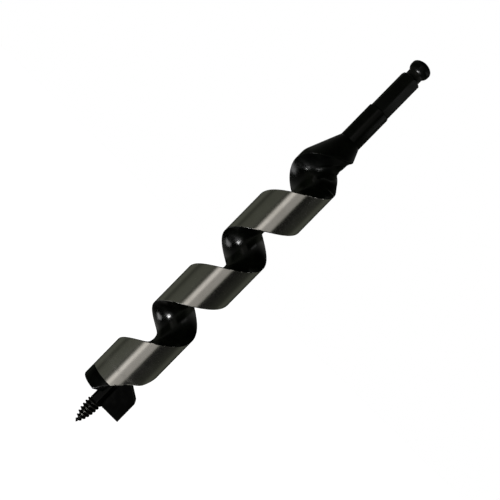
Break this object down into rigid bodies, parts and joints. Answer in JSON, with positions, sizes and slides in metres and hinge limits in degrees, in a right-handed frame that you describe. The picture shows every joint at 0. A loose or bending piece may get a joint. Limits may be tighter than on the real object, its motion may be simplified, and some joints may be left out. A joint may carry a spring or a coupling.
{
  "type": "soil auger",
  "caption": "Single-flight auger bit: tapered feed screw, one raised cutter, right-hand twisted half-round flight, flared neck and hexagonal quick-change shank.",
  "frame": {"origin": "on the axis, at the shoulder where the round shank meets the hexagon", "axes": "+Z along the axis towards the drive end, so the feed screw points down; -Y faces the cutter's flat rake face and +X is the cutter's side"},
  "size_m": [0.0318, 0.0302, 0.275],
  "materials": {
    "ground_flight": "land ground bright with fine marks round the bar; flute left black and glossy",
    "black_head": "glossy black heat-treated steel with worn edges",
    "black_screw": "black oxide over a rolled thread with brighter crests",
    "black_shank": "glossy black coating over turned and milled steel",
    "set_screw": "black oxide alloy steel"
  },
  "bodies": {
    "root": {"feed_screw": "black_screw", "screw_set_screw": "set_screw", "cutting_head": "black_head", "cutter": "black_head", "flight": "ground_flight", "neck": "black_shank", "drive_shank": "black_shank"}
  },
  "joints": []
}
